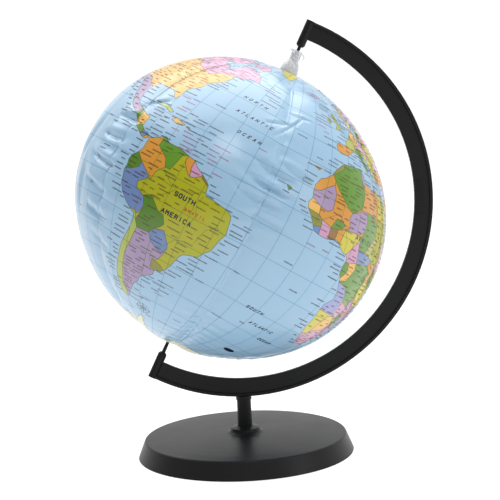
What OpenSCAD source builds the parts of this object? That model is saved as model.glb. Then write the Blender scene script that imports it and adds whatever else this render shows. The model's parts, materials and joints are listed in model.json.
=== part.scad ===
// Inflatable desk globe on a moulded stand.
// Frame: origin on the resting surface at the centre of the round base, +Z up.
// The meridian arm lies in the XZ plane, and the ball's axis leans towards +X.

/* [Ball] */
// Diameter of the inflated ball at its equator
ball_d = 248; // [236:1:252]
// Height of the inflated ball from pole to pole
ball_h = 232; // [226:1:236]
// Meridian radius of the ball's bulge at the equator
bulge_r = 109; // [106:0.5:111]
// Thickness of the vinyl film
film_t = 0.3; // [0.2:0.05:0.6]
// Number of welded panels round the ball
panel_count = 6; // [6]
// Angle of the first seam about the ball's axis
first_seam = -88; // [-120:1:-60]
// Radius of the disc that closes the panels' tips at each pole
polar_disc_r = 15; // [12:0.5:18]

/* [Valve] */
// Outer radius of the valve's bell where it leaves the ball
bell_r = 7.2; // [6.5:0.1:8]
// Outer radius of the valve's stem
stem_r = 3.9; // [3.6:0.1:4.4]
// Radius of the hole down the stem
stem_bore_r = 2.6; // [2.4:0.1:2.8]
// How far the plug lifts before it meets the stand
plug_travel = 2.5; // [1:0.1:2.6]

/* [Arm] */
// Outer radius of the meridian arm
arm_r = 153.8; // [150:0.1:158]
// Width of the arm's band, measured along its radius
arm_band = 14.5; // [12:0.1:16]
// Thickness of the arm's web
web_t = 4; // [3:0.1:5]
// Thickness of the rim round the web, front to back
rim_t = 6.4; // [5.5:0.1:8]
// Width of the rim, measured along the arm's radius
rim_band = 2.8; // [2:0.1:4]
// Lean of the ball's axis from upright
axis_tilt = 27; // [20:0.5:30]
// Distance of the ball's axis from the centre of the arm's curve
chord_offset = 8.3; // [4:0.1:12]
// How far the ball's centre sits down its axis from the arm's centre
ball_drop = 5.5; // [4:0.1:7]
// Number of fine ribs moulded on the arm's front face
rib_count = 12; // [4:1:20]

/* [Base] */
// Outer radius of the base where it rests
base_r = 86.4; // [75:0.1:95]
// Radius of the base at the top of its skirt
base_top_r = 81; // [70:0.1:84]
// Height of the base's skirt
skirt_h = 14.2; // [12:0.1:18]
// Wall thickness of the base
base_wall = 2.2; // [1.8:0.1:2.6]
// Radius of the post where it meets the arm
post_top_r = 5.6; // [5.2:0.1:6]
// Height of the centre of the arm's curve above the resting surface
arm_center_z = 199.6; // [190:0.1:210]
// Sideways distance from the post to the centre of the arm's curve
arm_center_x = 5.1; // [0:0.1:8]

/* [Hidden] */
$fn = 96;
fit = 0.05;           // gap left round a part pressed into a hole
profile_fn = 360;     // circle segments in the ball's meridian outline
far = 400;            // longer than anything it cuts

// ball's meridian outline: a bulge arc at the equator, and a flatter arc over each pole
ball_r = ball_d / 2;
pole_z = ball_h / 2;
bulge_x = ball_r - bulge_r;
cap_r = (ball_r * ball_r + pole_z * pole_z - 2 * ball_r * bulge_r) / (2 * (pole_z - bulge_r));
cap_z = pole_z - cap_r;
join_a = atan2(bulge_x, -cap_z);            // angle from the axis at which the two arcs meet
disc_a = asin(polar_disc_r / cap_r);        // the same angle at the edge of a polar disc
panel_a = 360 / panel_count;

// arm
arm_in_r = arm_r - arm_band;
end_shift = asin(chord_offset / (arm_r - arm_band / 2));
arm_start = -90 - axis_tilt - end_shift;
arm_stop = 90 - axis_tilt + end_shift;
boss_r = 3.5;
boss_reach = 6.3;                                            // how far a boss stands inside the arm
boss_out = sqrt(arm_r * arm_r - chord_offset * chord_offset) + 0.3;
boss_in = boss_out - arm_band - boss_reach + 0.3;
rib_pitch = 1;                                               // degrees
rib_first = -6.4;                                            // degrees
rib_w = 1.1;
rib_h = 0.4;
rib_len = 5.8;
rib_in = 1.6;                                                // from the arm's inner edge

// pins
pin_base_r = 1.6;
pivot_r = 1.3;
pivot_l = 8;                // straight length that the ball turns on
pivot_gap = 0.08;           // running clearance round it
pin_shank_l = 12;
bead_h = 1.4;
north_tip = 128.5;          // along the ball's axis from the ball's centre
south_tip = 108;
boss_in_north = boss_in + ball_drop;
boss_in_south = boss_in - ball_drop;

// valve, along the ball's axis from the ball's centre
bell_top = pole_z + 10;
bell_wall = 0.9;
stem_low = pole_z + 3;
stem_top = pole_z + 15;
flange_r = 11;
flange_t = 0.5;
flap_r = 3.4;
flap_t = 0.5;
head_r = 4.1;
head_h = 2.9;
head_gap = 0.1;
plug_low = stem_top - 7.5;
dimple_low = north_tip - plug_travel - 0.5;
strap_r = 2.3;
strap_t = 0.9;
strap_w = 3;

// pivot pocket at the south pole
socket_r = 3.4;
socket_low = 106;
socket_floor = 1.4;
socket_flange_r = 10;

// post and base
post_low_r = 5.9;
post_low = 6.5;
collar_r = 6.2;
collar_low = 43.2;
arm_under = arm_center_z - sqrt(arm_r * arm_r - arm_center_x * arm_center_x);
peg_r = 3.75;
peg_low = 28;
post_bore_low = 16;
post_socket_r = 6;
pilot_r = 1.5;
hub_r = 9.2;
hub_low = 2.9;
web_low = 4.2;
screw_hole_r = 2;
flare_r = 15;
flare_top = 21.6;
flare_top_r = 7.2;
dome_rise = 2.6;
edge_r = 1.8;
washer_t = 0.8;
washer_r = 4.5;
head_screw_r = 3.5;
head_screw_h = 2.2;
screw_top = 13.4;
pilot_top = 14.5;

// the ball's axis: origin where the axis passes nearest the arm's centre
module on_axis() {
    translate([arm_center_x, 0, arm_center_z]) rotate([0, axis_tilt, 0])
        translate([-chord_offset, 0, 0]) children();
}

// the ball's own frame: origin at its centre, +Z towards the north pole
module on_ball() {
    on_axis() translate([0, 0, -ball_drop]) children();
}

// flat wedge with its point at the origin, between two angles measured from +Z towards +X
module wedge(a0, a1) {
    polygon([[0, 0], [far * sin(a0), far * cos(a0)],
             [far * sin((a0 + a1) / 2), far * cos((a0 + a1) / 2)], [far * sin(a1), far * cos(a1)]]);
}

module ring_piece(r_out, r_in, a0, a1) {
    intersection() {
        difference() {
            circle(r = r_out, $fn = profile_fn);
            circle(r = r_in, $fn = profile_fn);
        }
        wedge(a0, a1);
    }
}

// piece of the north cap's arc, standing out from the film by `up`
module cap_piece(up, thick, a0, a1) {
    translate([0, cap_z]) ring_piece(cap_r + up, cap_r + up - thick, a0, a1);
}

// half of the ball's meridian outline, shrunk by `inset`
module ball_half(inset) {
    translate([bulge_x, 0]) circle(r = bulge_r - inset, $fn = profile_fn);
    for (pole = [0, 1])
        mirror([0, pole]) translate([0, cap_z]) intersection() {
            circle(r = cap_r - inset, $fn = profile_fn);
            wedge(0, join_a);
        }
}

module panel_outline() {
    intersection() {
        difference() {
            ball_half(0);
            ball_half(film_t);
        }
        for (pole = [0, 1])
            mirror([0, pole]) translate([0, cap_z]) wedge(disc_a, 100);
    }
}

// one printed vinyl panel, pole to pole between two seams
module panel(number) {
    color([0.66, 0.80, 0.89])
        on_ball() rotate([0, 0, first_seam + (number - 1) * panel_a])
            rotate_extrude(angle = panel_a) panel_outline();
}

// disc welded over the panels' north tips, with a hole for the valve
module north_disc() {
    color([0.80, 0.88, 0.93])
        on_ball() rotate_extrude() cap_piece(0, film_t, asin((bell_r + 0.1) / cap_r), disc_a);
}

// disc welded over the panels' south tips, with a hole for the pivot pocket
module south_disc() {
    color([0.88, 0.90, 0.86])
        on_ball() rotate([180, 0, 0]) rotate_extrude()
            cap_piece(0, film_t, asin((socket_r + 0.1) / cap_r), disc_a);
}

// clear blind pocket that turns on the lower pin, with a flange outside the disc
module south_socket() {
    color([0.85, 0.90, 0.93, 0.5])
        on_ball() rotate([180, 0, 0]) {
            difference() {
                union() {
                    rotate_extrude()
                        cap_piece(flange_t, flange_t, asin((pivot_r + 0.8) / cap_r),
                                  asin(socket_flange_r / cap_r));
                    translate([0, 0, socket_low]) cylinder(r = socket_r, h = pole_z + 0.2 - socket_low);
                }
                translate([0, 0, socket_low + socket_floor]) cylinder(r = pivot_r + pivot_gap, h = far);
            }
        }
}

// clear valve: a flexible bell that carries a straight stem
module valve_body() {
    color([0.85, 0.90, 0.93, 0.5])
        on_ball() difference() {
            union() {
                rotate_extrude() cap_piece(-film_t, flange_t, asin((bell_r - bell_wall) / cap_r),
                                           asin(flange_r / cap_r));
                rotate_extrude() polygon([
                    [bell_r - bell_wall, pole_z - 0.7], [bell_r, pole_z - 0.7], [bell_r, pole_z + 1.5],
                    [bell_r - 0.6, pole_z + 4.5], [bell_r - 1.7, pole_z + 7.5], [stem_r, bell_top],
                    [stem_r - 0.5, bell_top - 0.3], [stem_r - 0.5, bell_top - 1.4],
                    [bell_r - 1.7 - bell_wall, pole_z + 7.1], [bell_r - 0.6 - bell_wall, pole_z + 4.2],
                    [bell_r - bell_wall, pole_z + 1.5]
                ]);
                translate([0, 0, stem_low]) cylinder(r = stem_r, h = stem_top - stem_low);
            }
            translate([0, 0, stem_low - 1]) cylinder(r = stem_bore_r, h = stem_top - stem_low + 2);
        }
}

// thin flap that closes the stem's inner end, hinged at its +X edge
module valve_flap() {
    color([0.85, 0.90, 0.93, 0.5])
        on_ball() translate([0, 0, stem_low - flap_t - head_gap]) cylinder(r = flap_r, h = flap_t);
}

// short band that ties the plug to the stem, folded out to one side
module valve_strap() {
    color([0.85, 0.90, 0.93, 0.5])
        on_ball() translate([stem_r + 0.6, strap_w / 2, stem_top - 0.7]) rotate([90, 0, 0])
            linear_extrude(strap_w) {
                intersection() {
                    difference() {
                        circle(r = strap_r + strap_t / 2);
                        circle(r = strap_r - strap_t / 2);
                    }
                    translate([0, -strap_r - strap_t]) square([far, 2 * (strap_r + strap_t)]);
                }
                translate([-0.75, -strap_r - strap_t / 2]) square([0.76, strap_t]);
            }
}

// stopper in the stem, with a blind dimple that turns on the upper pin, and a finger tab
module valve_plug() {
    color([0.85, 0.90, 0.93, 0.5])
        on_ball() difference() {
            union() {
                translate([0, 0, plug_low])
                    cylinder(r = stem_bore_r - fit, h = stem_top + head_gap + 0.5 - plug_low);
                translate([0, 0, stem_top + head_gap]) cylinder(r = head_r, h = head_h);
                translate([-head_r, 0, stem_top + head_gap + 1]) cylinder(r = 1.7, h = head_h - 1);
            }
            translate([0, 0, dimple_low]) cylinder(r = pivot_r + pivot_gap, h = far);
        }
}

// pivot pin along +Z from a boss that starts at boss_z, with its tip at tip_z
module pin(boss_z, tip_z) {
    color([0.10, 0.10, 0.11]) {
        translate([0, 0, boss_z]) cylinder(r = pin_base_r - fit, h = pin_shank_l);
        translate([0, 0, boss_z - bead_h]) cylinder(r1 = boss_r - 1.1, r2 = boss_r, h = bead_h);
        translate([0, 0, tip_z + pivot_l])
            cylinder(r1 = pivot_r, r2 = pin_base_r, h = boss_z - tip_z - pivot_l);
        translate([0, 0, tip_z + pivot_r]) cylinder(r = pivot_r, h = pivot_l - pivot_r);
        translate([0, 0, tip_z + pivot_r]) sphere(r = pivot_r, $fn = 32);
    }
}

module north_pin() {
    on_ball() pin(boss_in_north, north_tip);
}

module south_pin() {
    on_ball() rotate([180, 0, 0]) pin(boss_in_south, south_tip);
}

// arm's cross-section: a flat web with a thicker rim along its outer edge
module arm_section() {
    bevel = 0.4;
    half = [[arm_in_r, web_t / 2 - bevel], [arm_in_r + bevel, web_t / 2],
            [arm_r - rim_band, web_t / 2], [arm_r - rim_band + bevel, rim_t / 2],
            [arm_r - bevel, rim_t / 2], [arm_r, rim_t / 2 - bevel]];
    polygon(concat(half, [for (i = [len(half) - 1:-1:0]) [half[i][0], -half[i][1]]]));
}

module arm_ribs() {
    for (i = [0:rib_count - 1])
        rotate([0, 0, rib_first + i * rib_pitch])
            translate([arm_in_r + rib_in, -rib_w / 2, web_t / 2 - 0.1])
                cube([rib_len, rib_w, rib_h + 0.1]);
}

// curved arm with a boss for a pin at each end and a peg for the post
module meridian_arm() {
    color([0.13, 0.13, 0.14])
        difference() {
            union() {
                translate([arm_center_x, 0, arm_center_z]) rotate([90, 0, 0]) {
                    rotate([0, 0, arm_start])
                        rotate_extrude(angle = arm_stop - arm_start, $fn = 180) arm_section();
                    arm_ribs();
                }
                on_axis() for (end = [0, 180])
                    rotate([end, 0, 0]) translate([0, 0, boss_in])
                        cylinder(r = boss_r, h = boss_out - boss_in);
                translate([0, 0, collar_low]) cylinder(r = collar_r, h = arm_under + 0.6 - collar_low);
                translate([0, 0, peg_low]) cylinder(r = peg_r, h = collar_low + 1 - peg_low);
            }
            on_axis() for (end = [0, 180])
                rotate([end, 0, 0]) translate([0, 0, boss_in - 1])
                    cylinder(r = pin_base_r, h = pin_shank_l + 1.5);
        }
}

// tapered post, bored at the top for the arm's peg and at the bottom for the screw
module support_post() {
    color([0.13, 0.13, 0.14])
        difference() {
            translate([0, 0, post_low]) cylinder(r1 = post_low_r, r2 = post_top_r, h = collar_low - post_low);
            translate([0, 0, post_bore_low]) cylinder(r = peg_r + fit, h = far);
            translate([0, 0, post_low - 1]) cylinder(r = pilot_r, h = pilot_top - post_low + 1);
        }
}

function arc(center, r, a0, a1, steps) =
    [for (i = [0:steps]) let (a = a0 + (a1 - a0) * i / steps) center + r * [cos(a), sin(a)]];

// height of the base's gently domed top at a radius, taken `down` below the surface
function dome_z(r, down = 0) = skirt_h - down + dome_rise * (1 - r * r / (base_top_r * base_top_r));

module base_outline() {
    skirt_a = atan2(skirt_h, base_r - base_top_r);
    edge_c = [base_top_r - edge_r * 0.9, skirt_h - edge_r];
    flare_c = [flare_r + 0.6, flare_top - 0.4];
    polygon(concat(
        [[base_r, 0]],
        arc(edge_c, edge_r, 90 - skirt_a, 90, 5),
        [for (i = [1:6]) let (r = edge_c[0] + (flare_r - edge_c[0]) * i / 6) [r, dome_z(r)]],
        arc(flare_c, flare_c[1] - dome_z(flare_r), 260, 190, 5),
        [[flare_top_r, flare_top - 0.3], [flare_top_r - 0.4, flare_top], [0, flare_top], [0, hub_low],
         [hub_r, hub_low]],
        [for (i = [0:6]) let (r = hub_r + (edge_c[0] - hub_r) * i / 6) [r, dome_z(r, base_wall)]],
        [[base_r - base_wall, 0]]
    ));
}

// hollow round base with a flared socket for the post
module base_dish() {
    color([0.15, 0.15, 0.16])
        difference() {
            rotate_extrude($fn = 180) base_outline();
            translate([0, 0, post_low]) cylinder(r = post_socket_r, h = far);
            translate([0, 0, -1]) cylinder(r = screw_hole_r, h = far);
            translate([0, 0, -1]) cylinder(r = washer_r + 1, h = web_low + 1);
        }
}

module washer() {
    color([0.72, 0.72, 0.72])
        translate([0, 0, web_low - washer_t]) difference() {
            cylinder(r = washer_r, h = washer_t);
            translate([0, 0, -1]) cylinder(r = screw_hole_r, h = washer_t + 2);
        }
}

// pan-head screw from below, through the washer and the base into the post
module base_screw() {
    color([0.72, 0.72, 0.72])
        difference() {
            union() {
                translate([0, 0, web_low - washer_t - head_screw_h])
                    cylinder(r = head_screw_r, h = head_screw_h);
                translate([0, 0, web_low - washer_t - 0.1])
                    cylinder(r = pilot_r - fit, h = screw_top - web_low + washer_t + 0.1);
            }
            for (turn = [0, 90])
                rotate([0, 0, turn]) translate([-2, -0.4, 0]) cube([4, 0.8, web_low - washer_t - 1.1]);
        }
}

base_dish();
washer();
base_screw();
support_post();
meridian_arm();
north_pin();
south_pin();
panel(1);  // panel_1
panel(2);  // panel_2
panel(3);  // panel_3
panel(4);  // panel_4
panel(5);  // panel_5
panel(6);  // panel_6
north_disc();
south_disc();
south_socket();
valve_body();
valve_flap();
valve_strap();
valve_plug();
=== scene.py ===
"""The looks of the inflatable desk globe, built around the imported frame.

The ball's panels are remade as an inflated, slightly puckered film with a world map printed on it.
A place on the ball is a direction from its centre, so the film, the print and the folds share one
function, film_point(). The stand and the clear valve, all but its strap, keep their CAD shapes and
get their finish here.
"""

import json
import math
import random

import bpy
import numpy as np
from mathutils import Matrix, Vector
from mathutils.geometry import delaunay_2d_cdt


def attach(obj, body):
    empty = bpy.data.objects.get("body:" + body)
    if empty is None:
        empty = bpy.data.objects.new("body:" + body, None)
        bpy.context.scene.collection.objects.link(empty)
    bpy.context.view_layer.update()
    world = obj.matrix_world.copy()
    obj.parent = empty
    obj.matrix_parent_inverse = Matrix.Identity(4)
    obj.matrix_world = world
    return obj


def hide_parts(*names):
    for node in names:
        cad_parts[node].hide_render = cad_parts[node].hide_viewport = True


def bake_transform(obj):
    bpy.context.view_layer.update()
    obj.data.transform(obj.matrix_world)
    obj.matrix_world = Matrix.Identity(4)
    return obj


MM = 0.001
TINY = 1e-9

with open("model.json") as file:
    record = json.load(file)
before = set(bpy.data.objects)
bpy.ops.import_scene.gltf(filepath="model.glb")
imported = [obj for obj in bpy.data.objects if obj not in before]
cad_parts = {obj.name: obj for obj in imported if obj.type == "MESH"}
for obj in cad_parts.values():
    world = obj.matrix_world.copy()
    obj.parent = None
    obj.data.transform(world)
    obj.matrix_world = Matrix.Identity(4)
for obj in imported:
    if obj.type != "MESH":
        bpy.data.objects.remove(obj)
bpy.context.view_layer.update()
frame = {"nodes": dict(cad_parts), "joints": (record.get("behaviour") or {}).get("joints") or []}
NODES = frame["nodes"]

# ---- the ball's own axes

SPIN = next(j for j in frame["joints"] if j["name"] == "ball_spin")
CENTRE = np.array(SPIN["pos_m"])
AXIS = np.array(SPIN["axis"])
SIDE = np.array([AXIS[2], 0, -AXIS[0]])
BACK = np.array([0.0, 1.0, 0.0])
BALL_AXES = np.stack([SIDE, BACK, AXIS])  # rows: the ball's x, y and z in the row frame

# The film's meridian outline, in millimetres: a bulge arc, and a flatter arc over each pole.
BALL_R = 124
POLE_Z = 116
BULGE_R = 109
BULGE_X = BALL_R - BULGE_R
CAP_R = (BALL_R**2 + POLE_Z**2 - 2 * BALL_R * BULGE_R) / (2 * (POLE_Z - BULGE_R))
CAP_Z = POLE_Z - CAP_R
JOIN = math.atan2(BULGE_X, -CAP_Z)
JOIN_LAT = math.atan2(CAP_Z + CAP_R * math.cos(JOIN), CAP_R * math.sin(JOIN))

PANELS = 6
PANEL_ANGLE = 360 / PANELS
FIRST_SEAM = -88
DISC_R = 15
VALVE_HOLE_R = 7.0
SOCKET_HOLE_R = 3.2

# The print sits a little off the ball's mechanical axis, as it was welded.
PRINT_TILT = math.radians(31.6)
PRINT_LEAN = math.radians(3.8)
PRINT_FRONT_LON = -32
PRINT_NORTH = np.array([math.sin(PRINT_TILT), math.tan(PRINT_LEAN), math.cos(PRINT_TILT)])
PRINT_NORTH = PRINT_NORTH / np.linalg.norm(PRINT_NORTH)
PRINT_FRONT = -BACK - PRINT_NORTH * float(-BACK @ PRINT_NORTH)
PRINT_FRONT = PRINT_FRONT / np.linalg.norm(PRINT_FRONT)
PRINT_EAST = np.cross(PRINT_NORTH, PRINT_FRONT)
PRINT_AXES = np.stack([PRINT_FRONT, PRINT_EAST, PRINT_NORTH]) @ BALL_AXES.T


def unit(vectors):
    return vectors / np.maximum(np.linalg.norm(vectors, axis=-1, keepdims=True), TINY)


def print_direction(lon, lat):
    """Direction on the ball, in its own axes, of a place on the printed map."""
    lon, lat = np.radians(np.asarray(lon, float) - PRINT_FRONT_LON), np.radians(np.asarray(lat, float))
    flat = np.stack(
        [BALL_R * np.cos(lat) * np.cos(lon), BALL_R * np.cos(lat) * np.sin(lon), POLE_Z * np.sin(lat)], -1
    )
    return unit(flat @ PRINT_AXES)


def print_place(directions):
    """Longitude and latitude on the printed map of directions on the ball."""
    front, east, north = np.moveaxis(directions @ PRINT_AXES.T, -1, 0)
    lat = np.degrees(np.arctan2(north / POLE_Z, np.hypot(front, east) / BALL_R))
    lon = np.degrees(np.arctan2(east, front)) + PRINT_FRONT_LON
    return (lon + 180) % 360 - 180, lat


# ---- the inflated film


def outline_radius(lat):
    """Distance from the ball's centre to the plain film at a latitude on the ball, in radians."""
    bulge = BULGE_X * np.cos(lat) + np.sqrt(BULGE_R**2 - (BULGE_X * np.sin(lat)) ** 2)
    cap = CAP_Z * np.abs(np.sin(lat)) + np.sqrt(CAP_R**2 - (CAP_Z * np.cos(lat)) ** 2)
    return np.where(np.abs(lat) < JOIN_LAT, bulge, cap)


def wavy(directions, frequency, seed, terms=7):
    """Smooth, even waviness from about -1 to 1 over the ball."""
    rng = np.random.default_rng(seed)
    ways = unit(rng.normal(size=(terms, 3))) * frequency * rng.uniform(0.7, 1.3, (terms, 1))
    phases = rng.uniform(0, 2 * math.pi, terms)
    return np.sin(directions @ ways.T + phases).sum(-1) / math.sqrt(terms)


# The film beside a seam, in millimetres: the weld's bead, the valley it lies in and the gathers, with
# their strength along each seam. The shape fades in over a band round each disc.
BEAD_HEIGHT = 0.34
BEAD_WIDTH = 0.6
VALLEY_DEPTH = 1.0
VALLEY_WIDTH = 4.5
PUCKERS = [0.6, 0.9, 0.8, 1.0, 0.9, 0.8]
PUCKER_PITCH = 12
PUCKER_REACH = 11
FADE_WIDTH = 14

# How far the film is flatter at the seams and fuller between them.
LOBE = 0.5

# Waviness of the whole film: height in millimetres, frequency and seed.
WAVES = [(0.2, 9, 3), (0.08, 24, 4)]

# Soft folds in the film: longitude, latitude and heading on the map in degrees, then length,
# width and depth in millimetres.
FOLDS = [
    (-31, 12.5, 92, 30, 1.9, 3.1),
    (-31, 18.5, 92, 28, 2.4, 2.7),
    (-33, 7, 92, 34, 2.8, 2.7),
    (-23, 22, 92, 26, 2.2, 1.8),
    (-27, 2, 96, 26, 2.6, 1.3),
    (-32, 39, 28, 32, 1.0, 0.8),
    (-29, 46, 80, 18, 1.0, 0.7),
    (-37, 38, 60, 22, 1.4, 0.6),
    (-93, 12, 84, 24, 2.3, 2.2),
    (-95, 3, 88, 28, 2.4, 2.4),
    (-96, -7, 95, 34, 2.6, 3.0),
    (-96, -17, 98, 34, 2.8, 2.6),
    (-92, -27, 100, 28, 2.8, 2.0),
    (-88, -37, 100, 22, 2.6, 1.0),
    (-86, 22, 60, 22, 2.2, 1.0),
    (-112, 0, 20, 40, 4.0, 1.2),
    (-108, -20, 10, 36, 4.0, 1.0),
]
FOLD_BEND = 0.004

# The lip beside a fold: its height as a share of the depth, and its place and width in fold widths.
LIP_HEIGHT = 0.5
LIP_PLACE = 2.2
LIP_WIDTH = 1.6


def fold_depth(directions):
    """How deep the folds press the film in, in millimetres."""
    depth = np.zeros(len(directions))
    for lon, lat, heading, length, width, deep in FOLDS:
        middle = print_direction(lon, lat)
        north = unit(print_direction(lon, lat + 1) - middle)
        east = np.cross(north, middle)
        turn = math.radians(heading)
        along = north * math.cos(turn) + east * math.sin(turn)
        across = np.cross(middle, along)
        offset = (directions - middle) * BALL_R
        u, v = offset @ along, offset @ across
        same_side = directions @ middle > 0.5
        v = v - FOLD_BEND * u * u
        crease = np.exp(-((v / width) ** 2))
        lip = LIP_HEIGHT * np.exp(-(((v - LIP_PLACE * width) / (LIP_WIDTH * width)) ** 2))
        depth += same_side * deep * np.exp(-((u / (length / 2)) ** 4)) * (crease - lip)
    return depth


# Out-of-round shape of the soft ball between its two pins, in millimetres.
SAG_FULLER = 0.5
SAG_SIDEWAYS = 2.6
SAG_DOWN = 0.2
SAG_FLATTER = 0.4
SAG_LEAN = 4.3


def sag(directions):
    """The ball hangs towards its low side, and is a little fuller below the arm's middle than above."""
    x, _, z = np.moveaxis(directions, -1, 0)
    return SAG_FULLER + SAG_SIDEWAYS * x - SAG_DOWN * z + SAG_FLATTER * (x * x - z * z) - SAG_LEAN * x * z


def gathers(along, across, seam):
    """The uneven puckers along a seam, at distances along it and across from it in millimetres."""
    pace = along / PUCKER_PITCH * (1 + 0.12 * np.sin(along / 31 + seam * 2.1)) * 2 * math.pi
    gather = np.clip(0.55 + 0.6 * np.sin(along / 23 + seam * 1.7), 0.1, 1)
    strength = np.array(PUCKERS)[seam.astype(int)]
    pucker = strength * gather * np.sin(pace + seam * 1.3 + 0.02 * across) * np.exp(-across / PUCKER_REACH)
    return pucker * (1 - np.exp(-((across / 1.5) ** 2)))


def swell(directions):
    """How far the film stands outside its plain outline, in millimetres."""
    x, y, z = np.moveaxis(directions, -1, 0)
    lat, azimuth = np.arcsin(np.clip(z, -1, 1)), np.degrees(np.arctan2(y, x))
    from_seam = (azimuth - FIRST_SEAM + PANEL_ANGLE / 2) % PANEL_ANGLE - PANEL_ANGLE / 2
    girth = BALL_R * np.cos(lat) * math.pi / 180
    across = np.abs(from_seam * girth)
    seam = np.round((azimuth - FIRST_SEAM) / PANEL_ANGLE) % PANELS
    fade = np.clip((np.cos(lat) * BALL_R - DISC_R) / FADE_WIDTH, 0, 1)
    fade = fade * fade * (3 - 2 * fade)
    bead = BEAD_HEIGHT * np.exp(-((across / BEAD_WIDTH) ** 2))
    valley = -VALLEY_DEPTH / (1 + (across / VALLEY_WIDTH) ** 2)
    pucker = gathers(lat * BALL_R, across, seam)
    lobe = -LOBE * np.cos(np.radians(from_seam * PANELS))
    rough = sum(height * wavy(directions, frequency, seed) for height, frequency, seed in WAVES)
    return fade * (sag(directions) + bead + valley + pucker + lobe + rough - fold_depth(directions))


def film_point(directions, lift=0.0):
    """Points on the film, lifted off it by so many millimetres, in metres in the row frame."""
    lat = np.arcsin(np.clip(directions[..., 2], -1, 1))
    reach = outline_radius(lat) + swell(directions) + lift
    return CENTRE + (directions * reach[..., None] * MM) @ BALL_AXES


NORMAL_STEP = 0.0015


def film_normal(directions):
    """The film's outward normal, from two short steps along it."""
    helper = np.where(np.abs(directions[:, 2:]) < 0.9, [[0.0, 0.0, 1.0]], [[1.0, 0.0, 0.0]])
    a = unit(np.cross(helper, directions))
    b = np.cross(directions, a)
    da = film_point(unit(directions + a * NORMAL_STEP)) - film_point(unit(directions - a * NORMAL_STEP))
    db = film_point(unit(directions + b * NORMAL_STEP)) - film_point(unit(directions - b * NORMAL_STEP))
    normal = unit(np.cross(da, db))
    outward = directions @ BALL_AXES
    return normal * np.sign((normal * outward).sum(-1, keepdims=True))


# ---- the printed map

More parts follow.
